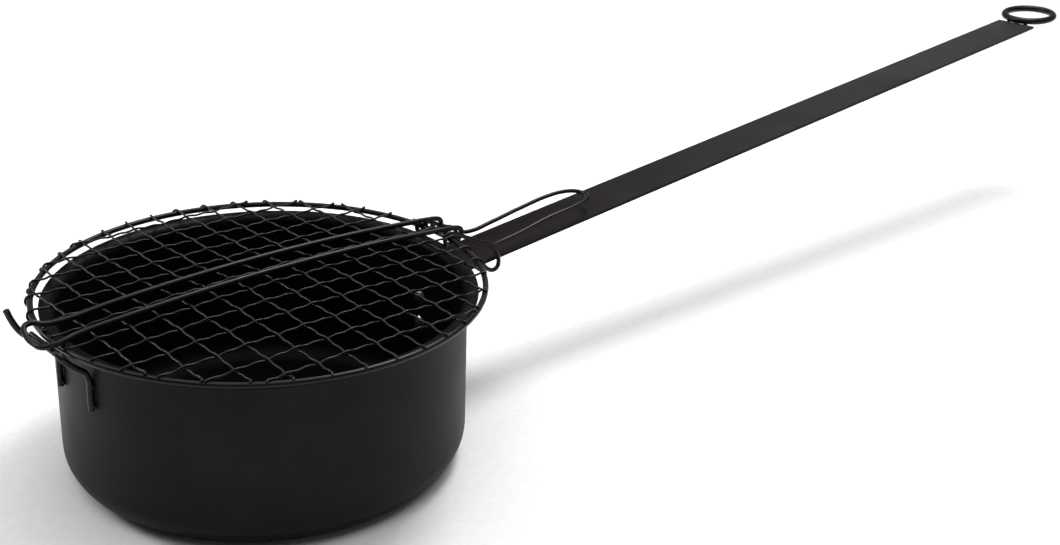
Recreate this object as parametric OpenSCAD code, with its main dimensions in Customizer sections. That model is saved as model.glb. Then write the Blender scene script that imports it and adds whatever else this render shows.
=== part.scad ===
// Long-handled camp-fire pan with a hinged wire-mesh lid.
// Origin: centre of the pan's flat base. +Z is up, +X runs out along the handle.

/* [Pan] */
// Outer radius of the pan's upright wall
pan_r = 100.4; // [90:0.1:110]
// Height of the pan from its base to the top of the lip
pan_h = 88; // [80:0.5:100]
// Sheet thickness of the wall
wall_t = 2; // [1.5:0.1:2.5]
// Thickness of the pan's base
base_t = 2.5; // [2:0.1:3]
// Outside radius of the bend between the base and the wall
corner_r = 16; // [10:0.5:20]
// Outer radius of the turned-out lip
lip_r = 106; // [105.5:0.1:106.4]

/* [Handle] */
// Width of the handle strip
strip_w = 30; // [24:1:32]
// Thickness of the handle strip
strip_t = 2; // [1.5:0.1:2.5]
// Upward slope of the handle in degrees
strip_slope = 5.38; // [4:0.1:6]
// Distance from the pan's axis to the far end of the strip
strip_end = 699; // [600:1:720]
// Outer diameter of the hanging ring
ring_od = 41.3; // [36:0.1:44]
// Diameter of the hanging ring's rod
ring_rod = 5; // [4:0.1:5.4]

/* [Lid] */
// Radius of the lid ring, measured to the middle of its wire
lid_r = 109.3; // [109.2:0.1:109.6]
// Diameter of the lid ring, bar and hinge wires
wire_d = 3; // [2.8:0.1:3]
// Height of the lid ring's middle line
lid_z = 90.3; // [90.2:0.1:91]
// Diameter of the mesh wires
mesh_d = 1.2; // [1:0.1:1.2]
// Distance from one mesh wire to the next along the handle's direction
mesh_pitch_x = 15.4; // [15:0.1:15.6]
// Distance from one mesh wire to the next across the handle's direction
mesh_pitch_y = 15.8; // [15.6:0.1:15.9]
// Rise of the mesh above the ring, in front of the bars
crown = 4; // [2:0.1:4.2]
// Rise of the mesh above the ring, at the back where it is pressed flat
back_crown = 0.4; // [0.2:0.1:3]
// Rise of the two stiffening bars above their ends
bar_rise = 4.8; // [4:0.1:6]

/* [Latch] */
// Diameter of the latch wires
latch_d = 2.4; // [2:0.1:2.4]
// Length of the latch lever from the lid ring's pivot to its loop end
latch_reach = 112; // [100:1:120]

/* [Hidden] */
$fn = 48;
mesh_n = 6;                                   // mesh wires on each side of the middle one
mesh_k = [for (k = [-mesh_n:mesh_n]) k];
function weft_name(k) = str("mesh_weft_", k + mesh_n + 1);
function warp_name(k) = str("mesh_warp_", k + mesh_n + 1);

black = "#26262a";
wire_grey = "#3a3a3d";
bright = "#b8b8ba";
gap = 0.05;                                   // play between neighbours that touch

// Handle: the tab on the wall, the bend and the sloping strip
tab_x = pan_r + gap;
tab_low = 35;
bend_in = 3;
bend_out = bend_in + strip_t;
bend_z = 65;
strip_run = (strip_end - tab_x - bend_out) / cos(strip_slope) + bend_out * tan(strip_slope);
rivet_z = [39, 54.6];
rivet_r = 2.5;

// Hanging ring, lying on the strip's end
ring_r = (ring_od - ring_rod) / 2;
ring_x = strip_end + ring_r - 0.2;
ring_z = bend_z + bend_out / cos(strip_slope) + (ring_x - tab_x - bend_out) * tan(strip_slope)
    + ring_rod / 2 + gap;

// Hinge: a bracket of two wires on the wall, with the lid swinging on its pin
leg_y = 15.3;
leg_x = -(sqrt(pan_r * pan_r - leg_y * leg_y) + wire_d / 2 + gap);
pin_x = -113.2;
pin_z = 90.2;
leg_low = 60;

// Lid bars and mesh
bar_y = 8.7;
bar_z = 94.6;
bar_end = 109.5;
bar_eye_r = 3;
bar_eye = [116.8, 90.4];
weft_y0 = 1.7;
warp_x0 = -1.5;
weft_z = lid_z + (wire_d + mesh_d) / 2 + gap; // middle line of a weft wire where it crosses the ring
layer = mesh_d + gap;                         // the warp wires lie one wire below the weft
warp_stop = wire_d / 2 + mesh_d / 2 + 0.1;
weft_y = [for (k = mesh_k) weft_y0 + k * mesh_pitch_y];
warp_x = [for (k = mesh_k) warp_x0 + k * mesh_pitch_x];
fade = 36;                                    // distance over which the mesh gets flat behind the bars

// Lip: inside radius of the bend that turns it out, and the height at which that bend starts
lip_bend = 3;
lip_low = pan_h - lip_bend - wall_t;

// Latch: it turns on the lid ring, between a bar and the next mesh wire
latch_x = 108.55;
eye_y = 12;
eye_r = 3;
hook_y = 17;

// Height of a bar's middle line at a place along it
function bar_height(x) = bar_z + bar_rise * (1 - pow(x / bar_end, 2));

// Half the length of a chord of the lid ring at a distance from the middle
function chord(d, r = lid_r) = sqrt(r * r - d * d);

// The same route on the other side of the handle's middle plane
function other_side(route) = [for (p = route) [p[0], -p[1], p[2]]];

// Height of a weft wire's middle line over a place on the lid
function crown_at(y) = let (t = max(0, min(1, y / fade)))
    crown + (back_crown - crown) * t * t * (3 - 2 * t);
function mesh_height(x, y) = weft_z + crown_at(y) * (1 - (x * x + y * y) / (lid_r * lid_r));

// The places along a mesh wire: its two ends and every crossing between them
function stations(crossings, half) =
    concat([-half], [for (c = crossings) if (abs(c) < half - 2) c], [half]);

function unit(v) = v / norm(v);

// A route with every corner rounded by a short curve
function rounded(route) = [
    for (i = [0:len(route) - 1])
        let (p = route[i], a = route[max(i - 1, 0)] - p, b = route[min(i + 1, len(route) - 1)] - p,
             c = 0.45 * min(norm(a), norm(b)))
            if (c == 0) p
            else for (t = [0, 1 / 3, 2 / 3, 1])
                p + pow(1 - t, 2) * c * unit(a) + pow(t, 2) * c * unit(b)];

// The wire's direction at each point of a route
function headings(route) = [
    for (i = [0:len(route) - 1])
        unit((i > 0 ? unit(route[i] - route[i - 1]) : [0, 0, 0])
            + (i < len(route) - 1 ? unit(route[i + 1] - route[i]) : [0, 0, 0]))];

// A side direction square to a heading, as close as possible to the one before it
function squared(side, heading) = unit(side - (side * heading) * heading);

// A round wire along a route of points: a ring of points at each, joined by triangles
module wire(route, d, sides = 10) {
    last = len(route) - 1;
    dir = headings(route);
    up = [for (i = 0, n = squared([0.3, 0.2, 1], dir[0]); i <= last;
               i = i + 1, n = squared(n, dir[min(i, last)])) n];
    points = [for (i = [0:last], s = [0:sides - 1])
        let (a = s * 360 / sides)
            route[i] + d / 2 * (cos(a) * up[i] + sin(a) * cross(dir[i], up[i]))];
    walls = [for (i = [0:last - 1], s = [0:sides - 1])
        let (a = i * sides + s, b = i * sides + (s + 1) % sides)
            each [[a, a + sides, b + sides], [a, b + sides, b]]];
    start_cap = [for (s = [0:sides - 1]) s];
    end_cap = [for (s = [sides - 1:-1:0]) last * sides + s];
    polyhedron(points, concat(walls, [start_cap, end_cap]));
}

// Half section of the pan round its flat base: corner bend, wall and turned-out lip
module wall_section() {
    translate([pan_r - corner_r, corner_r]) intersection() {
        difference() {
            circle(r = corner_r, $fn = 96);
            circle(r = corner_r - wall_t, $fn = 96);
        }
        translate([0, -corner_r]) square(corner_r);
    }
    translate([pan_r - wall_t, corner_r]) square([wall_t, lip_low - corner_r]);
    translate([pan_r + lip_bend, lip_low]) intersection() {
        difference() {
            circle(r = lip_bend + wall_t);
            circle(r = lip_bend);
        }
        translate([-lip_bend - wall_t, 0]) square(lip_bend + wall_t);
    }
    translate([pan_r + lip_bend, pan_h - wall_t])
        square([lip_r - pan_r - lip_bend - wall_t / 2, wall_t]);
    translate([lip_r - wall_t / 2, pan_h - wall_t / 2]) circle(d = wall_t);
}

// The flat middle of the pan. It is one sheet with the wall; the seam keeps both shapes simple
module bowl_base() {
    color(black) cylinder(r = pan_r - corner_r - gap, h = base_t, $fn = 180);
}

module bowl_wall() {
    color(black) difference() {
        rotate_extrude($fn = 180) wall_section();
        for (z = rivet_z) translate([pan_r - 5, 0, z]) rotate([0, 90, 0])
            cylinder(r = rivet_r + gap, h = 10);
    }
}

// A point of the bend, or of the strip beyond it, from the bend's centre: r out, run along the strip
function on_bend(r, a) = [tab_x + bend_out + r * cos(a), bend_z + r * sin(a)];
function on_strip(r, run) = on_bend(r, 90 + strip_slope) + run * [cos(strip_slope), sin(strip_slope)];

// Side view of the handle: x and z, with the tab against the wall
module strip_section() {
    steps = 12;
    turn = 90 - strip_slope;
    outside = [for (i = [0:steps]) on_bend(bend_out, 180 - i * turn / steps)];
    inside = [for (i = [steps:-1:0]) on_bend(bend_in, 180 - i * turn / steps)];
    polygon(concat(
        [[tab_x + strip_t, tab_low], [tab_x, tab_low]],
        outside,
        [on_strip(bend_out, strip_run), on_strip(bend_in, strip_run)],
        inside));
}

module handle_strip() {
    color(wire_grey) difference() {
        rotate([90, 0, 0]) translate([0, 0, -strip_w / 2])
            linear_extrude(strip_w) strip_section();
        for (z = rivet_z) translate([pan_r - 5, 0, z]) rotate([0, 90, 0])
            cylinder(r = rivet_r + gap, h = 15);
    }
}

// A rivet along X: its shank and a low round head on each side
module rivet() {
    head_r = 4.5;
    head_h = 1.6;
    grip_in = pan_r - wall_t - 0.15;
    grip_out = tab_x + strip_t + gap;
    cap_r = (head_r * head_r + head_h * head_h) / (2 * head_h);
    translate([grip_in, 0, 0]) rotate([0, 90, 0]) cylinder(r = rivet_r, h = grip_out - grip_in);
    translate([grip_out, 0, 0]) intersection() {
        translate([head_h - cap_r, 0, 0]) sphere(r = cap_r, $fn = 96);
        translate([0, -head_r, -head_r]) cube(2 * head_r);
    }
    translate([grip_in, 0, 0]) intersection() {
        translate([cap_r - head_h, 0, 0]) sphere(r = cap_r, $fn = 96);
        translate([-2 * head_r, -head_r, -head_r]) cube(2 * head_r);
    }
}

module handle_rivets() {
    color(bright) for (z = rivet_z) translate([0, 0, z]) rivet();
}

module hanging_ring() {
    color(wire_grey) translate([ring_x, 0, ring_z]) rotate([0, -strip_slope, 0])
        rotate_extrude($fn = 96) translate([ring_r, 0]) circle(d = ring_rod);
}

// Beads of weld between the hanging ring and the strip, one on each side of the middle
module ring_welds() {
    bead_y = 7;
    bead_x = ring_x - chord(bead_y, ring_r);
    color(wire_grey) for (side = [-1, 1])
        translate([bead_x, side * bead_y, ring_z - ring_rod / 2 - 1.3]) sphere(d = 3);
}

// The near leg, bent over at the top into the pin that the lid swings on
module hinge_pin_leg() {
    color(wire_grey) wire(rounded([
        [leg_x, -leg_y, leg_low],
        [leg_x, -leg_y, 75],
        [-102.5, -leg_y, 79],
        [-106, -leg_y, 82],
        [-110, -leg_y, 86],
        [pin_x, -leg_y, pin_z],
        [pin_x, leg_y - wire_d / 2, pin_z]]), wire_d);
}

// The far leg, bent out and up past the pin into a horn that stops the open lid
module hinge_horn_leg() {
    color(wire_grey) wire(rounded([
        [leg_x, leg_y, leg_low],
        [leg_x, leg_y, 75],
        [-102.5, leg_y, 79],
        [-106, leg_y, 82],
        [-110, leg_y, 85],
        [-113.5, leg_y, 88.2],
        [-117.5, leg_y, 92.5],
        [-120.5, leg_y, 98],
        [-122.7, leg_y, 104]]), wire_d);
}

// Weld beads that hold the legs' feet to the wall
module hinge_welds() {
    color(wire_grey) for (side = [-1, 1], z = [leg_low + 2, leg_low + 12])
        translate([leg_x + 1, side * leg_y, z]) sphere(d = 3.6);
}

module lid_ring() {
    color(wire_grey) translate([0, 0, lid_z])
        rotate_extrude($fn = 180) translate([lid_r, 0]) circle(d = wire_d);
}

// One wire makes both bars: it runs out over the mesh, round the hinge pin and back
module lid_bars() {
    stations = [-104, -75, -50, -25, 0, 25, 50, 75, 104, 110];
    bar = [for (x = stations) [x, bar_y, bar_height(x)]];
    eye = [for (a = [75:-30:-195])
        [bar_eye[0] + bar_eye_r * cos(a), bar_y, bar_eye[1] + bar_eye_r * sin(a)]];
    half = concat(bar, eye);
    back = [for (i = [len(half) - 1:-1:0]) half[i]];
    hinge_loop = [
        [-104.5, bar_y, bar_height(104)],
        [-109, 9.6, 95.6],
        [-113.5, 11, 97],
        [-117.5, 10, 96.4],
        [-118.6, 6, 94],
        [-118.2, 0, 92.4],
        [-116.6, -6, 92.3],
        [-112, -9.4, 93.8],
        [-104.5, -bar_y, bar_height(104)]];
    color(wire_grey) wire(concat(back, rounded(hinge_loop), other_side(half)), wire_d);
}

// Beads that join the bars to the lid ring where they cross it
module bar_welds() {
    color(wire_grey) for (end = [-1, 1], side = [-1, 1])
        translate([end * chord(bar_y), side * bar_y, lid_z + 2.3]) sphere(d = 3);
}

// Mesh wires along the handle's direction: they lie over the lid ring
module mesh_weft(y) {
    color(wire_grey)
        wire([for (x = stations(warp_x, chord(y) + 0.8)) [x, y, mesh_height(x, y)]], mesh_d, 6);
}

// Mesh wires across the handle's direction: they stop at the inside of the lid ring
module mesh_warp(x) {
    color(wire_grey)
        wire([for (y = stations(weft_y, chord(x, lid_r - warp_stop))) [x, y, mesh_height(x, y) - layer]],
             mesh_d, 6);
}

// Hairpin lever above the handle, its ends held against the two arms
module latch_lever() {
    tip = latch_x + latch_reach;
    side = [
        [137.2, 13.9, 79.3],
        [142, 12, 78.9],
        [160, 11.5, 81],
        [181, 11, 84.6],
        [tip - 15.5, 11, 87.3],
        [tip - 6.5, 9, 88],
        [tip - 1.5, 5, 88.3],
        [tip, 0, 88.3]];
    back = [for (i = [len(side) - 2:-1:0]) side[i]];
    color(wire_grey) wire(rounded(concat(side, other_side(back))), latch_d);
}

// Two arms, each bent round the lid ring into an eye and hooked down beside the handle strip
module latch_hooks() {
    eye = [for (a = [348:-24:60])
        [latch_x + eye_r * cos(a), eye_y, lid_z + eye_r * sin(a)]];
    arm = [
        [113, eye_y, 91.9],
        [120, 13, 88.5],
        [128, 14.5, 84.5],
        [134, 16, 82],
        [138, hook_y, 77.5],
        [139.8, hook_y, 72],
        [139, hook_y, 68],
        [136, hook_y, 66.8],
        [132, hook_y, 68.5],
        [128, hook_y, 72.5]];
    route = concat(eye, rounded(arm));
    color(wire_grey) {
        wire(route, latch_d);
        wire(other_side(route), latch_d);
    }
}

bowl_base();
bowl_wall();
handle_strip();
handle_rivets();
hanging_ring();
ring_welds();
hinge_pin_leg();
hinge_horn_leg();
hinge_welds();
lid_ring();
lid_bars();
bar_welds();
latch_lever();
latch_hooks();
for (k = mesh_k) mesh_weft(weft_y[k + mesh_n]);
for (k = mesh_k) mesh_warp(warp_x[k + mesh_n]);
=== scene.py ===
# %% [markdown]
# # A camp-fire pan with a hinged wire lid
#
# The object is a deep round steel pan with a turned-out lip. A lid of woven wire closes it, a wire
# latch holds the lid down beside a long flat handle, and the handle ends in a ring to hang it by.
#
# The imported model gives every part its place. This file gives each part its looks: softened sheet
# edges, wires that bend as real wire does, a lid that is really woven, and a finish for each metal.
# All lengths are in metres, so `MM` turns the millimetres of a drawing into the scene's unit.

# %% Load the frame
import bpy
import math
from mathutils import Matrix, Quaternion, Vector


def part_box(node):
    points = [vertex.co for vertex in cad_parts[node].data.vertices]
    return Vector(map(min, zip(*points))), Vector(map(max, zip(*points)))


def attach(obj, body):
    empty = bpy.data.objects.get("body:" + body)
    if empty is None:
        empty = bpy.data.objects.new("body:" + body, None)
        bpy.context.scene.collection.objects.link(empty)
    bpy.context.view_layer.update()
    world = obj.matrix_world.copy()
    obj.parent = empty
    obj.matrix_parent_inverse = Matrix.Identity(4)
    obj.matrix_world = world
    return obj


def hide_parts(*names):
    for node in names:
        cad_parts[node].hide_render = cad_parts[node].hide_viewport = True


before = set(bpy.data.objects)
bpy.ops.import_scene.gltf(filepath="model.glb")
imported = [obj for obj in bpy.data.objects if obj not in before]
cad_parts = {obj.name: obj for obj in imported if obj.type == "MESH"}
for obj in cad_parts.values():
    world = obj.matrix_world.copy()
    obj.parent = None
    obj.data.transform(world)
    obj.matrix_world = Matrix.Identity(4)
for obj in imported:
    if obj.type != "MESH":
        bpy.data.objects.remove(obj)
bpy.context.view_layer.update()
MM = 0.001

# %% [markdown]
# ## Camera
#
# The pan is seen from its near left, a little from above, so that the handle runs away to the far
# right. A 48 mm lens on a 36 mm sensor gives that mild perspective. The small shift centres the
# long handle in the frame without turning the camera, which keeps the uprights upright.

# %% Camera
VIEW_AZIMUTH = math.radians(-42.16)
VIEW_ELEVATION = math.radians(20.67)
VIEW_ROLL = math.radians(1.64)
LENS = 48.38
SHIFT = (0.0256, -0.0559)
EYE = Vector((-0.3442, -0.5540, 0.3719))


def add_camera():
    back = Vector((math.sin(VIEW_AZIMUTH) * math.cos(VIEW_ELEVATION),
                   -math.cos(VIEW_AZIMUTH) * math.cos(VIEW_ELEVATION),
                   math.sin(VIEW_ELEVATION)))
    aim = (-back).to_track_quat("-Z", "Y") @ Quaternion((0, 0, 1), VIEW_ROLL)
    bpy.ops.object.camera_add(location=EYE)
    camera = bpy.context.object
    camera.name = "camera"
    camera.rotation_mode = "QUATERNION"
    camera.rotation_quaternion = aim
    camera.data.lens = LENS
    camera.data.shift_x, camera.data.shift_y = SHIFT
    camera.data.clip_start = 0.01
    bpy.context.scene.camera = camera
    print("camera at", [round(v, 3) for v in EYE])


add_camera()

# %% [markdown]
# ## Helpers for modelling
#
# An operator acts on everything that is selected, and the loaded parts arrive selected, so each
# piece starts by clearing the selection. A piece is finished when it has its name, its material,
# the body that it moves with and the plain parts that it stands for.

# %% Modelling helpers
def clear_selection():
    if bpy.context.mode != "OBJECT":
        bpy.ops.object.mode_set(mode="OBJECT")
    bpy.ops.object.select_all(action="DESELECT")


def apply_modifier(piece, kind, **settings):
    modifier = piece.modifiers.new(kind.title(), kind)
    for key, value in settings.items():
        setattr(modifier, key, value)
    bpy.context.view_layer.objects.active = piece
    bpy.ops.object.modifier_apply(modifier=modifier.name)


def finish_piece(piece, name, body, material, replaces):
    piece.name = name
    piece.data.name = name
    piece.data.materials.clear()
    piece.data.materials.append(material)
    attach(piece, body)
    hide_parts(*replaces)


def join_pieces(pieces):
    clear_selection()
    for piece in pieces:
        piece.select_set(True)
    bpy.context.view_layer.objects.active = pieces[0]
    bpy.ops.object.join()
    return bpy.context.object


# %% [markdown]
# ## Helpers for materials
#
# Colours are written as the sRGB hex values that a colour picker shows, and one function turns them
# to the linear values that shaders use. `node` adds one shader node with its settings and links.

# %% Material helpers
def linear(hex_colour):
    channels = [int(hex_colour[i:i + 2], 16) / 255 for i in (1, 3, 5)]
    return [c / 12.92 if c <= 0.04045 else ((c + 0.055) / 1.055) ** 2.4 for c in channels] + [1.0]


def node(tree, kind, links=None, inputs=None, **settings):
    made = tree.nodes.new(kind)
    for key, value in settings.items():
        setattr(made, key, value)
    for key, value in (inputs or {}).items():
        made.inputs[key].default_value = value
    for key, source in (links or {}).items():
        tree.links.new(source, made.inputs[key])
    return made


def new_material(name):
    material = bpy.data.materials.new(name)
    material.use_nodes = True
    tree = material.node_tree
    tree.nodes.clear()
    place = node(tree, "ShaderNodeTexCoord").outputs["Object"]
    return material, tree, place


def ramp(tree, source, stops):
    made = node(tree, "ShaderNodeValToRGB", {"Fac": source})
    elements = made.color_ramp.elements
    while len(elements) < len(stops):
        elements.new(0.5)
    for element, (position, colour) in zip(elements, stops):
        element.position = position
        element.color = colour
    return made.outputs["Color"]


def grey(value):
    return (value, value, value, 1.0)


# %% [markdown]
# ## Black heat-proof coat
#
# The pan, the handle and the wires have the same thin black coat, baked on: a dielectric film, so
# the shader is not metallic. Three things tell the eye that it is paint on steel. The sheen is
# uneven over a few centimetres, the surface has a fine pebble of about half a millimetre, and heat
# turns the coat brown in clouds. The specular level is low, as this coat is matt when seen square
# on and shines only at a grazing angle, which is why the wall gets lighter towards its outline.

# %% Black coat
def noise(tree, place, size_mm, detail, roughness=0.5):
    made = node(tree, "ShaderNodeTexNoise", {"Vector": place},
                {"Scale": 1 / (size_mm * MM), "Detail": detail, "Roughness": roughness})
    return made.outputs["Fac"]


def mixed(tree, amount, first, hex_colour):
    made = node(tree, "ShaderNodeMix", data_type="RGBA")
    tree.links.new(amount, made.inputs["Factor"])
    tree.links.new(first, made.inputs["A"])
    made.inputs["B"].default_value = linear(hex_colour)
    return made.outputs["Result"]


def along_x(tree, place, near, far, near_value, far_value):
    """A value that changes evenly along X, from near_value at near to far_value at far."""
    x = node(tree, "ShaderNodeSeparateXYZ", {"Vector": place}).outputs["X"]
    return node(tree, "ShaderNodeMapRange", {"Value": x},
                {"From Min": near, "From Max": far,
                 "To Min": near_value, "To Max": far_value}).outputs["Result"]


HEAT_BROWN, HEAT_AMOUNT = "#2b2522", 0.15


def black_coat(name, dark, light, rough, pebble_mm, bump, specular):
    material, tree, place = new_material(name)
    cloud = noise(tree, place, 35, 4.0, 0.55)
    coat = ramp(tree, cloud, [(0.32, linear(dark)), (0.70, linear(light))])
    burnt = ramp(tree, noise(tree, place, 60, 2.0), [(0.5, grey(0.0)), (0.75, grey(HEAT_AMOUNT))])
    colour = mixed(tree, burnt, coat, HEAT_BROWN)
    sheen = ramp(tree, cloud, [(0.3, grey(rough - 0.05)), (0.7, grey(rough + 0.07))])
    relief = node(tree, "ShaderNodeBump", {"Height": noise(tree, place, pebble_mm, 3.0)},
                  {"Strength": bump, "Distance": 0.05 * MM}).outputs["Normal"]
    shader = node(tree, "ShaderNodeBsdfPrincipled",
                  {"Base Color": colour, "Roughness": sheen, "Normal": relief},
                  {"IOR": 1.5, "Specular IOR Level": specular})
    node(tree, "ShaderNodeOutputMaterial", {"Surface": shader.outputs["BSDF"]})
    print("material", name)
    return material, tree, shader


pan_coat, pan_tree, pan_shader = black_coat("baked_black_pan_coat", "#1c1c20", "#232328",
                                            0.42, 0.9, 0.35, 0.06)
wire_coat, _, _ = black_coat("black_wire_coat", "#0a0a0b", "#131314", 0.30, 0.5, 0.3, 0.20)
mesh_coat, _, _ = black_coat("black_mesh_wire_coat", "#0c0c0d", "#171718", 0.30, 0.4, 0.3, 0.19)

# %% [markdown]
# ## The handle's coat
#
# The handle has the same coat. Near the pan its colour is painted a dark red-brown as painted shade,
# for the shade under the latch lever; towards the ring it fades to the plain grey coat.

# %% Handle coat
PAINTED_SHADE_START, PAINTED_SHADE_END = 120 * MM, 560 * MM
handle_coat, handle_tree, handle_shader = black_coat("black_handle_coat_painted_shade", "#2b2b2d", "#333335",
                                                     0.36, 0.7, 0.4, 0.04)
handle_place = node(handle_tree, "ShaderNodeTexCoord").outputs["Object"]
handle_colour = handle_shader.inputs["Base Color"]
# Painted shade: from 120 mm to 560 mm along X the base colour fades from nearly #150c0b to the plain
# coat.
painted_shade = along_x(handle_tree, handle_place, PAINTED_SHADE_START, PAINTED_SHADE_END, 0.95, 0.0)
painted_shade_colour = mixed(handle_tree, painted_shade, handle_colour.links[0].from_socket, "#150c0b")
handle_tree.links.new(painted_shade_colour, handle_colour)
print("handle scorched up to", round(PAINTED_SHADE_END / MM), "mm from the pan's axis")

# %% [markdown]
# ## Bright rivet steel
#
# Rivet heads are hammered over, so they stay bare: a metal with small dents and fine grey marks.

# %% Rivet steel
def rivet_steel():
    material, tree, place = new_material("bare_rivet_steel")
    dents = noise(tree, place, 1.6, 2.0)
    marks = noise(tree, place, 0.5, 5.0)
    colour = ramp(tree, marks, [(0.3, linear("#8c8c8c")), (0.7, linear("#c9c8c6"))])
    rough = ramp(tree, marks, [(0.3, grey(0.24)), (0.7, grey(0.36))])
    relief = node(tree, "ShaderNodeBump", {"Height": dents},
                  {"Strength": 0.5, "Distance": 0.15 * MM}).outputs["Normal"]
    shader = node(tree, "ShaderNodeBsdfPrincipled",
                  {"Base Color": colour, "Roughness": rough, "Normal": relief},
                  {"Metallic": 1.0})
    node(tree, "ShaderNodeOutputMaterial", {"Surface": shader.outputs["BSDF"]})
    return material


rivet_metal = rivet_steel()
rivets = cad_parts["handle_rivets"]
rivets.data.materials.clear()
rivets.data.materials.append(rivet_metal)
print("rivets keep their shape and get", rivet_metal.name)

# %% [markdown]
# ## The pan
#
# The real pan is pressed from one round sheet, so every section through its axis is the same. The
# section is drawn as one line of points, extruded from a single vertex, and spun round the axis.
# The base face must look down before Solidify runs, or the sheet would grow outwards instead of
# inwards. A bevel then softens the lip's cut edge.
#
# The inside of the pan and its lip are painted darker than the outside, as painted shade. The
# shade's border lies within the sheet's thickness, apart from a line round the outside just under the
# lip.

# %% Pan measures
LATHE_STEPS = 144
pan_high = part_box("bowl_wall")[1]
LIP_R = pan_high.x
PAN_H = pan_high.z
WALL_R = 100.4 * MM
WALL_T = 2.0 * MM
CORNER_R = 16 * MM
LIP_BEND = 3 * MM
INSIDE_SHADE_R = WALL_R - 0.7 * WALL_T
INSIDE_SHADE_FLOOR = 0.75 * WALL_T
LIP_SHADE_Z = PAN_H - 4.2 * MM
print("pan", round(2 * WALL_R / MM, 1), "mm across and", round(PAN_H / MM, 1), "mm high")

# %% Painted shade inside the pan
def inside_shade_mask(tree, place):
    flat = node(tree, "ShaderNodeVectorMath", {0: place}, {1: (1, 1, 0)}, operation="MULTIPLY")
    away = node(tree, "ShaderNodeVectorMath", {0: flat.outputs["Vector"]}, operation="LENGTH")
    near = node(tree, "ShaderNodeMath", {0: away.outputs["Value"]}, {1: INSIDE_SHADE_R},
                operation="LESS_THAN").outputs["Value"]
    height = node(tree, "ShaderNodeSeparateXYZ", {"Vector": place}).outputs["Z"]
    above = node(tree, "ShaderNodeMath", {0: height}, {1: INSIDE_SHADE_FLOOR},
                 operation="GREATER_THAN").outputs["Value"]
    inner = node(tree, "ShaderNodeMath", {0: near, 1: above}, operation="MULTIPLY").outputs["Value"]
    lip = node(tree, "ShaderNodeMath", {0: height}, {1: LIP_SHADE_Z},
               operation="GREATER_THAN").outputs["Value"]
    return node(tree, "ShaderNodeMath", {0: inner, 1: lip}, operation="MAXIMUM").outputs["Value"]


pan_place = node(pan_tree, "ShaderNodeTexCoord").outputs["Object"]
pan_colour = pan_shader.inputs["Base Color"]
# Painted shade: inside the pan and on the lip the base colour is set to #0c0c0d.
pan_shaded_colour = mixed(pan_tree, inside_shade_mask(pan_tree, pan_place), pan_colour.links[0].from_socket, "#0c0c0d")
pan_tree.links.new(pan_shaded_colour, pan_colour)
print("pan coat darker inside")

# %% Pan sheet
def arc(centre_r, centre_z, radius, start, end, steps):
    angles = [math.radians(start + (end - start) * i / steps) for i in range(steps + 1)]
    return [(centre_r + radius * math.cos(a), centre_z + radius * math.sin(a)) for a in angles]


def spin_profile(points, steps):
    """A surface of revolution about Z from a list of (radius, height) points."""
    clear_selection()
    bpy.ops.mesh.primitive_plane_add(size=MM, location=(0, 0, 0))
    bpy.ops.object.mode_set(mode="EDIT")
    bpy.ops.mesh.select_all(action="SELECT")
    bpy.ops.mesh.merge(type="CENTER")
    r, z = points[0]
    bpy.ops.transform.translate(value=(r, 0, z))
    for (r0, z0), (r1, z1) in zip(points, points[1:]):
        bpy.ops.mesh.extrude_region_move(TRANSFORM_OT_translate={"value": (r1 - r0, 0, z1 - z0)})
    bpy.ops.mesh.select_all(action="SELECT")
    bpy.ops.mesh.spin(steps=steps, angle=2 * math.pi, center=(0, 0, 0), axis=(0, 0, 1))
    bpy.ops.mesh.select_all(action="SELECT")
    bpy.ops.mesh.remove_doubles(threshold=0.002 * MM)
    bpy.ops.mesh.normals_make_consistent(inside=False)
    bpy.ops.object.mode_set(mode="OBJECT")
    return bpy.context.object


def pan_outer_line():
    base = [(0.0, 0.0), (30 * MM, 0.0), (60 * MM, 0.0), (76 * MM, 0.0)]
    corner = arc(WALL_R - CORNER_R, CORNER_R, CORNER_R, -90, 0, 14)
    bend_z = PAN_H - WALL_T - LIP_BEND
    wall = [(WALL_R, CORNER_R + (bend_z - CORNER_R) * i / 4) for i in range(1, 4)]
    lip = arc(WALL_R + LIP_BEND, bend_z, LIP_BEND, 180, 90, 8)
    return base + corner + wall + lip + [(LIP_R, PAN_H - WALL_T)]


def make_pan():
    piece = spin_profile(pan_outer_line(), LATHE_STEPS)
    base_face = min(piece.data.polygons, key=lambda face: face.center.z)
    if base_face.normal.z > 0:
        bpy.ops.object.mode_set(mode="EDIT")
        bpy.ops.mesh.flip_normals()
        bpy.ops.object.mode_set(mode="OBJECT")
    apply_modifier(piece, "SOLIDIFY", thickness=WALL_T, offset=-1.0, use_even_offset=True)
    apply_modifier(piece, "BEVEL", width=0.8 * MM, segments=3, limit_method="ANGLE",
                   angle_limit=math.radians(50))
    bpy.ops.object.shade_smooth_by_angle(angle=math.radians(35))
    finish_piece(piece, "pan_sheet", "pan", pan_coat,
                 ["bowl_base", "bowl_wall"])
    print("pan:", len(piece.data.polygons), "faces, size",
          [round(v / MM, 1) for v in piece.dimensions])


make_pan()

# %% [markdown]
# ## The handle strip
#
# The handle is one flat bar: a short tab riveted on the wall, a tight bend, and a long straight run.
# A single point at the tab's foot is extruded along the bend and out to the end, and that line is
# extruded across the strip's width. Solidify gives the bar its thickness, and a small bevel on all
# edges gives the rolled bar's bright edge lines.

# %% Handle
strip_low, strip_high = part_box("handle_strip")
STRIP_W = strip_high.y - strip_low.y
STRIP_T = 2 * MM
STRIP_SLOPE = math.radians(5.38)
BEND_OUT = 5 * MM
BEND_Z = 65 * MM
TAB_FACE = 15 * MM
RUN_STEPS = 12


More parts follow.
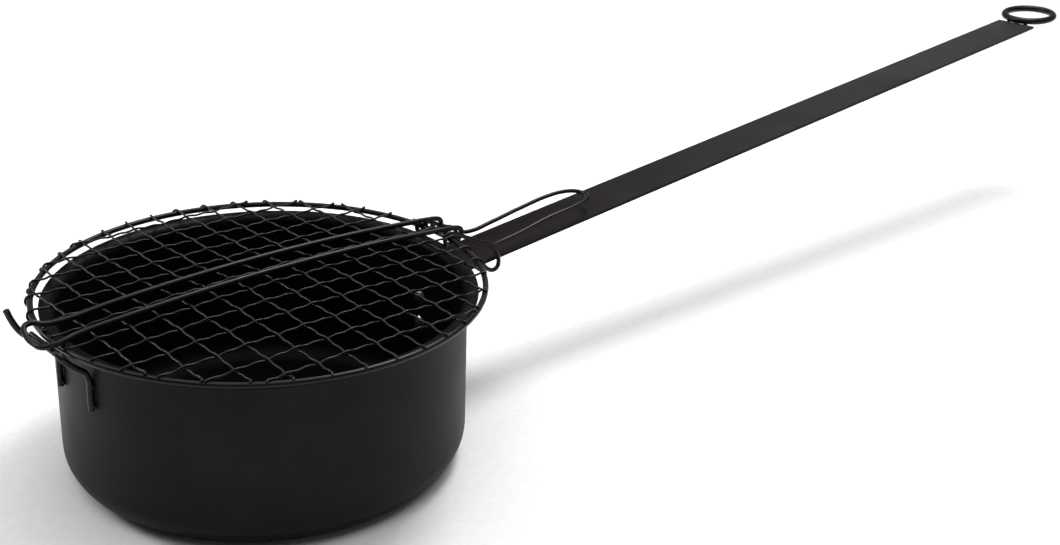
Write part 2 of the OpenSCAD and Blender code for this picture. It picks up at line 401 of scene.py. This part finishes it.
def strip_line():
    """The strip's upper side as (x, z) points, from the tab's foot to the far end."""
    tab_x = strip_low.x
    foot = [(tab_x, strip_low.z), (tab_x, strip_low.z + TAB_FACE)]
    turn = 90 - math.degrees(STRIP_SLOPE)
    bend = arc(tab_x + BEND_OUT, BEND_Z, BEND_OUT, 180, 180 - turn, 8)
    x, z = bend[-1]
    run = (strip_high.x - x) / math.cos(STRIP_SLOPE)
    stations = [run * i / RUN_STEPS for i in range(1, RUN_STEPS + 1)]
    far = [(x + s * math.cos(STRIP_SLOPE), z + s * math.sin(STRIP_SLOPE)) for s in stations]
    return foot + bend + far


def make_handle():
    points = strip_line()
    clear_selection()
    bpy.ops.mesh.primitive_plane_add(size=1, location=(0, 0, 0))
    piece = bpy.context.object
    bpy.ops.object.mode_set(mode="EDIT")
    bpy.ops.mesh.select_mode(type="VERT")
    bpy.ops.mesh.select_all(action="SELECT")
    bpy.ops.mesh.merge(type="CENTER")
    bpy.ops.transform.translate(value=(points[0][0], -STRIP_W / 2, points[0][1]))
    for (x0, z0), (x1, z1) in zip(points, points[1:]):
        bpy.ops.mesh.extrude_region_move(TRANSFORM_OT_translate={"value": (x1 - x0, 0, z1 - z0)})
    bpy.ops.mesh.select_all(action="SELECT")
    bpy.ops.mesh.extrude_region_move(TRANSFORM_OT_translate={"value": (0, STRIP_W, 0)})
    bpy.ops.object.mode_set(mode="OBJECT")
    up = sum((p.normal for p in piece.data.polygons), Vector())
    if up.z < 0:
        bpy.ops.object.mode_set(mode="EDIT")
        bpy.ops.mesh.select_all(action="SELECT")
        bpy.ops.mesh.flip_normals()
        bpy.ops.object.mode_set(mode="OBJECT")
    apply_modifier(piece, "SOLIDIFY", thickness=STRIP_T, offset=-1.0, use_even_offset=True)
    apply_modifier(piece, "BEVEL", width=0.45 * MM, segments=3, limit_method="ANGLE",
                   angle_limit=math.radians(50))
    bpy.ops.object.shade_smooth_by_angle(angle=math.radians(30))
    finish_piece(piece, "handle_bar", "pan", handle_coat, ["handle_strip"])
    print("handle:", len(piece.data.polygons), "faces, size",
          [round(v / MM, 1) for v in piece.dimensions])


make_handle()

# %% [markdown]
# ## Bent wire
#
# Everything else is round wire. A wire is easiest as a Bezier curve: the points give where it bends,
# automatic handles round the bends as a former would, and a round bevel gives it its thickness. The
# curve is then made a mesh, so that it exports as it looks.

# %% Wire helper
def bent_wire(route, diameter, closed=False, sides=3, resolution=4):
    """A round wire through a list of points in millimetres."""
    clear_selection()
    bpy.ops.curve.primitive_bezier_curve_add(location=(0, 0, 0))
    piece = bpy.context.object
    curve = piece.data
    curve.splines.clear()
    spline = curve.splines.new("BEZIER")
    spline.bezier_points.add(len(route) - 1)
    for point, place in zip(spline.bezier_points, route):
        point.co = Vector(place) * MM
        point.handle_left_type = point.handle_right_type = "AUTO"
    spline.use_cyclic_u = closed
    spline.resolution_u = resolution
    curve.dimensions = "3D"
    curve.resolution_u = resolution
    curve.twist_mode = "MINIMUM"
    curve.bevel_depth = diameter * MM / 2
    curve.bevel_resolution = sides
    curve.use_fill_caps = not closed
    bpy.ops.object.convert(target="MESH")
    piece = bpy.context.object
    bpy.ops.object.mode_set(mode="EDIT")
    bpy.ops.mesh.select_all(action="SELECT")
    bpy.ops.mesh.remove_doubles(threshold=0.001 * MM)
    bpy.ops.mesh.normals_make_consistent(inside=False)
    bpy.ops.object.mode_set(mode="OBJECT")
    bpy.ops.object.shade_smooth_by_angle(angle=math.radians(50))
    return piece


def mirrored(route):
    return [(x, -y, z) for x, y, z in route]


def round_ring(radius, centre, tilt=0.0, steps=24):
    turn = [2 * math.pi * i / steps for i in range(steps)]
    return [(centre[0] + radius * math.cos(a) * math.cos(tilt),
             centre[1] + radius * math.sin(a),
             centre[2] + radius * math.cos(a) * math.sin(tilt)) for a in turn]


# %% [markdown]
# ## Hanging ring and lid ring
#
# Both rings are rod bent round and butt-welded. The hanging ring lies on the strip's end, at the
# strip's own slope. The lid ring is a little larger than the pan's lip, so that it drops outside it.

# %% Rings
RING_ROD = 5.0
WIRE_D = 3.0
ring_low, ring_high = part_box("hanging_ring")
RING_CENTRE = (ring_low + ring_high) / 2 / MM
RING_R = (ring_high.y - ring_low.y) / MM / 2 - RING_ROD / 2
lid_low, lid_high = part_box("lid_ring")
LID_R = (lid_high.x - lid_low.x) / MM / 2 - WIRE_D / 2
LID_Z = (lid_high.z + lid_low.z) / MM / 2

hanger = bent_wire(round_ring(RING_R, RING_CENTRE, STRIP_SLOPE), RING_ROD, True, 6, 4)
finish_piece(hanger, "hanger_ring", "pan", wire_coat, ["hanging_ring"])
rim = bent_wire(round_ring(LID_R, (0, 0, LID_Z), 0, 48), WIRE_D, True, 5, 6)
finish_piece(rim, "lid_rim_wire", "lid", wire_coat, ["lid_ring"])
print("hanging ring radius", round(RING_R, 2), "lid ring radius", round(LID_R, 2), "mm")

# %% [markdown]
# ## Hinge bracket
#
# Two wires stand on the wall. The near one is bent over at the top and becomes the pin that the lid
# swings on. The far one is bent out and up past the pin into a horn, which stops the open lid.

# %% Hinge wires
LEG_Y = 15.3
LEG_X = -100.78
PIN_X, PIN_Z = -113.2, 90.2
leg_foot = [(LEG_X, LEG_Y, 60), (LEG_X, LEG_Y, 68), (LEG_X - 0.1, LEG_Y, 75),
            (-102.7, LEG_Y, 79.3), (-106, LEG_Y, 82.1)]
near_leg = mirrored(leg_foot) + [(-110, -LEG_Y, 86), (-112.6, -LEG_Y + 0.3, 89.2),
                                 (PIN_X, -LEG_Y + 2, PIN_Z), (PIN_X, -8, PIN_Z),
                                 (PIN_X, 4, PIN_Z), (PIN_X, LEG_Y - 1.5, PIN_Z)]
far_leg = leg_foot + [(-110, LEG_Y, 85), (-113.6, LEG_Y, 88.2), (-117.5, LEG_Y, 92.5),
                      (-120.5, LEG_Y, 98), (-122.7, LEG_Y, 104)]

leg = bent_wire(near_leg, WIRE_D, resolution=5, sides=4)
finish_piece(leg, "hinge_pin_wire", "pan", wire_coat, ["hinge_pin_leg"])
horn = bent_wire(far_leg, WIRE_D, resolution=5, sides=4)
finish_piece(horn, "hinge_horn_wire", "pan", wire_coat, ["hinge_horn_leg"])
print("hinge pin", round(2 * LEG_Y, 1), "mm between its legs")

# %% [markdown]
# ## Lid bars
#
# One wire makes both bars. It starts in a small curled eye beside the latch, bows up over the mesh,
# turns round the hinge pin in a drooping loop, and comes back to a second eye.

# %% Lid bars
BAR_D = 2.8
BAR_Y = 8.7
BAR_END_Z, BAR_RISE, BAR_HALF = 94.6, 4.8, 109.5
EYE_X, EYE_Z, EYE_R = 116.8, 90.4, 3.0


def bar_height(x):
    return BAR_END_Z + BAR_RISE * (1 - (x / BAR_HALF) ** 2)


def bars_route():
    run = [(x, BAR_Y, bar_height(x)) for x in (-102, -75, -50, -25, 0, 25, 50, 75, 100, 110)]
    curl = [(EYE_X + EYE_R * math.cos(a), BAR_Y, EYE_Z + EYE_R * math.sin(a))
            for a in (math.radians(d) for d in range(75, -196, -30))]
    half = run + curl
    loop = [(-109, 9.6, 95.6), (-113.5, 11, 97), (-117.5, 10, 96.4), (-118.6, 6, 94),
            (-118.2, 0, 92.4), (-116.6, -6, 92.3), (-112, -9.4, 93.8)]
    return half[::-1] + loop + mirrored(half)


bars = bent_wire(bars_route(), BAR_D, resolution=6, sides=4)
finish_piece(bars, "lid_bar_wire", "lid", wire_coat, ["lid_bars"])
print("bars:", len(bars.data.polygons), "faces")

# %% [markdown]
# ## Woven mesh
#
# The lid's mesh is crimped wire: each wire is pressed into a fine wave first, so that it lies over
# one crossing wire and under the next, with a spare wave between them that stiffens it. Each wire
# follows the lid's low dome, and its ends are bent over the ring. Where the hinge is in the way, and
# along the front, the end is cut off shorter. A turn of 90 degrees is the ring's top, and the wire
# goes outwards and down from there.

# %% Mesh wires
MESH_D = 1.2
PITCH_X, PITCH_Y = 15.4, 15.8
WARP_X0, WEFT_Y0 = -1.5, 1.7
CROWN, BACK_CROWN, FADE = 4.0, 0.4, 36
CRIMP = MESH_D / 2 + 0.03
MESH_COUNT = 13
WRAP_R = (WIRE_D + MESH_D) / 2 + 0.05
MID_Z = LID_Z + WRAP_R - CRIMP
SAMPLES = 6
END_ROOM = 4
WRAP_STEP, WRAP_DRIFT = 30, 0.6
NO_WRAP, SHORT_WRAP, FULL_WRAP = 90, 60, -60
HINGE_Y, SHORT_LOW_Y, SHORT_HIGH_Y = 20, -15, -50


def dome(x, y):
    """Domed in front of the bars, pressed nearly flat behind them."""
    t = max(0.0, min(1.0, y / FADE))
    crown = CROWN + (BACK_CROWN - CROWN) * t * t * (3 - 2 * t)
    return MID_Z + crown * (1 - (x * x + y * y) / (LID_R * LID_R))


def crimp(travel, start, pitch, sign):
    """Up at one crossing, down at the next, with a smaller spare wave between them."""
    turn = math.pi * (travel - start) / pitch
    return sign * CRIMP * (0.52 * math.cos(turn) + 0.48 * math.cos(3 * turn))


def wrap_end(cross, along, side, turn_end):
    """The end of a wire, wound round the ring from its top outwards and under."""
    half = math.sqrt(LID_R ** 2 - cross ** 2)
    x, y = (side * half, cross) if along == "x" else (cross, side * half)
    around = math.atan2(y, x)
    drift = WRAP_DRIFT / LID_R * (1 if cross >= 0 else -1)
    points = []
    steps = (NO_WRAP - turn_end) // WRAP_STEP
    for i in range(steps + 1):
        a = math.radians(NO_WRAP - WRAP_STEP * i)
        here = around + drift * i
        r = LID_R + WRAP_R * math.cos(a)
        points.append((r * math.cos(here), r * math.sin(here), LID_Z + WRAP_R * math.sin(a)))
    return points


def low_turn(cross, along):
    if along == "x" and abs(cross) < HINGE_Y:
        return NO_WRAP
    return SHORT_WRAP if along == "y" or cross < SHORT_LOW_Y else FULL_WRAP


def high_turn(cross, along):
    return SHORT_WRAP if along == "x" and cross < SHORT_HIGH_Y else FULL_WRAP


def mesh_route(cross, along, sign):
    start, pitch = (WARP_X0, PITCH_X) if along == "x" else (WEFT_Y0, PITCH_Y)
    half = math.sqrt(LID_R ** 2 - cross ** 2)
    inner = half - END_ROOM
    first = math.ceil((-inner - start) / (pitch / SAMPLES))
    last = math.floor((inner - start) / (pitch / SAMPLES))
    middle = []
    for i in range(first, last + 1):
        t = start + i * pitch / SAMPLES
        x, y = (t, cross) if along == "x" else (cross, t)
        middle.append((x, y, dome(x, y) + crimp(t, start, pitch, sign)))
    low_end = wrap_end(cross, along, -1, low_turn(cross, along))
    high_end = wrap_end(cross, along, 1, high_turn(cross, along))
    return low_end[::-1] + middle + high_end


def make_mesh():
    for k in range(MESH_COUNT):
        step = k - MESH_COUNT // 2
        weft = bent_wire(mesh_route(WEFT_Y0 + step * PITCH_Y, "x", 1 if step % 2 else -1),
                         MESH_D, sides=2, resolution=2)
        finish_piece(weft, f"weft_wire_{k + 1}", "lid", mesh_coat,
                     [f"mesh_weft_{k + 1}"])
        warp = bent_wire(mesh_route(WARP_X0 + step * PITCH_X, "y", -1 if step % 2 else 1),
                         MESH_D, sides=2, resolution=2)
        finish_piece(warp, f"warp_wire_{k + 1}", "lid", mesh_coat,
                     [f"mesh_warp_{k + 1}"])
    print("mesh:", 2 * MESH_COUNT, "wires at", PITCH_X, "by", PITCH_Y, "mm")


make_mesh()

# %% [markdown]
# ## Latch
#
# A hairpin lever lies above the handle. Its ends sit against two arms, which turn on the lid ring in
# closed eyes and hook down beside the handle strip.

# %% Latch wires
LATCH_D = 2.4
LATCH_X, LATCH_REACH = 108.55, 112
ARM_Y, HOOK_Y, PIVOT_R = 12, 17, 3


def lever_route():
    tip = LATCH_X + LATCH_REACH
    side = [(137.2, 13.9, 79.3), (142, 12, 78.9), (160, 11.5, 81), (181, 11, 84.6),
            (tip - 15.5, 11, 87.3), (tip - 6.5, 9, 88), (tip - 1.5, 5, 88.3)]
    return side + [(tip, 0, 88.3)] + mirrored(side)[::-1]


def hook_route():
    eye = [(LATCH_X + PIVOT_R * math.cos(a), ARM_Y, LID_Z + PIVOT_R * math.sin(a))
           for a in (math.radians(d) for d in range(348, 59, -24))]
    arm = [(113, ARM_Y, 91.9), (120, 13, 88.5), (128, 14.5, 84.5), (134, 16, 82),
           (138, HOOK_Y, 77.5), (139.8, HOOK_Y, 72), (139, HOOK_Y, 68), (136, HOOK_Y, 66.8),
           (132, HOOK_Y, 68.5), (128, HOOK_Y, 72.5)]
    return eye + arm


lever = bent_wire(lever_route(), LATCH_D, resolution=6, sides=4)
finish_piece(lever, "latch_lever_wire", "latch", wire_coat, ["latch_lever"])
arms = join_pieces([bent_wire(hook_route(), LATCH_D, resolution=5, sides=4),
                    bent_wire(mirrored(hook_route()), LATCH_D, resolution=5, sides=4)])
finish_piece(arms, "latch_arm_wires", "latch", wire_coat, ["latch_hooks"])
print("latch lever", LATCH_REACH, "mm long")

# %% [markdown]
# ## Weld beads
#
# Spot welds leave small lumps of metal, painted over with the rest. Each bead starts as a ball,
# is flattened and roughened by a noise, so that no two look alike.

# %% Weld beads
def weld_beads(name, body, node_name, places, size):
    lumps = []
    texture = bpy.data.textures.new(name + "_lumps", "CLOUDS")
    texture.noise_scale = 1.2 * MM
    for place in places:
        clear_selection()
        bpy.ops.mesh.primitive_ico_sphere_add(subdivisions=3, radius=size * MM / 2,
                                              location=Vector(place) * MM)
        lump = bpy.context.object
        lump.scale = (1.0, 1.15, 0.9)
        bpy.ops.object.transform_apply(location=True, rotation=True, scale=True)
        apply_modifier(lump, "DISPLACE", texture=texture, strength=0.25 * MM, mid_level=0.5)
        bpy.ops.object.shade_smooth()
        lumps.append(lump)
    piece = join_pieces(lumps)
    finish_piece(piece, name, body, wire_coat, [node_name])
    print(name, len(places), "beads")


RING_BEAD_Y = 7
bead_run = math.sqrt(RING_R ** 2 - RING_BEAD_Y ** 2)
ring_bead_z = RING_CENTRE[2] - RING_ROD / 2 - 1.3
weld_beads("ring_weld_beads", "pan", "ring_welds",
           [(RING_CENTRE[0] - bead_run, y, ring_bead_z) for y in (-RING_BEAD_Y, RING_BEAD_Y)], 3)
weld_beads("hinge_weld_beads", "pan", "hinge_welds",
           [(LEG_X + 1, y, z) for y in (-LEG_Y, LEG_Y) for z in (62, 72)], 3.6)
bar_cross = math.sqrt(LID_R ** 2 - BAR_Y ** 2)
weld_beads("bar_weld_beads", "lid", "bar_welds",
           [(x, y, LID_Z + 2.3) for x in (-bar_cross, bar_cross) for y in (-BAR_Y, BAR_Y)], 3)

# %% [markdown]
# ## Floor and light
#
# A plain white floor and a pale surround, a little darker on the hinge's side. The black coat shows
# its shape only by what it reflects. One broad light overhead serves the handle and the wires' tops,
# a small key beyond the handle lights the pan's right, and another from behind reaches through the
# lid to the rivet heads.

# %% Stage
def add_floor():
    clear_selection()
    bpy.ops.mesh.primitive_plane_add(size=8, location=(0, 0, -0.0005))
    floor = bpy.context.object
    floor.name = "floor"
    material, tree, place = new_material("pale_paper_floor")
    grain = noise(tree, place, 4, 3.0)
    colour = ramp(tree, grain, [(0.3, linear("#f4f4f4")), (0.7, linear("#fafafa"))])
    shader = node(tree, "ShaderNodeBsdfPrincipled", {"Base Color": colour}, {"Roughness": 0.9})
    node(tree, "ShaderNodeOutputMaterial", {"Surface": shader.outputs["BSDF"]})
    floor.data.materials.append(material)


def add_soft_light(name, place, target, size, power):
    bpy.ops.object.light_add(type="AREA", location=place)
    light = bpy.context.object
    light.name = name
    light.data.shape = "RECTANGLE"
    light.data.size, light.data.size_y = size
    light.data.energy = power
    aim = Vector(target) - Vector(place)
    light.rotation_mode = "QUATERNION"
    light.rotation_quaternion = aim.to_track_quat("-Z", "Y")


def add_surround(strength, left, right):
    """A pale room, darker on the side of the hinge than on the side of the handle."""
    world = bpy.data.worlds.new("pale_surround")
    world.use_nodes = True
    tree = world.node_tree
    heading = node(tree, "ShaderNodeTexCoord").outputs["Generated"]
    side = along_x(tree, heading, -0.6, 0.6, left, right)
    background = tree.nodes["Background"]
    tree.links.new(side, background.inputs["Color"])
    background.inputs["Strength"].default_value = strength
    bpy.context.scene.world = world


add_floor()
add_surround(0.20, 0.3, 1.0)
add_soft_light("ceiling", (0.3, 0.3, 1.9), (0.3, 0.3, 0), (3.2, 3.2), 50)
add_soft_light("key", (0.85, 0.25, 1.45), (0, 0, 0.09), (0.5, 0.5), 14)
add_soft_light("rivet_fill", (-0.83, 1.37, 0.86), (0.09, 0, 0.05), (0.5, 0.5), 11)
bpy.context.scene.view_settings.view_transform = "Standard"
print("stage ready")
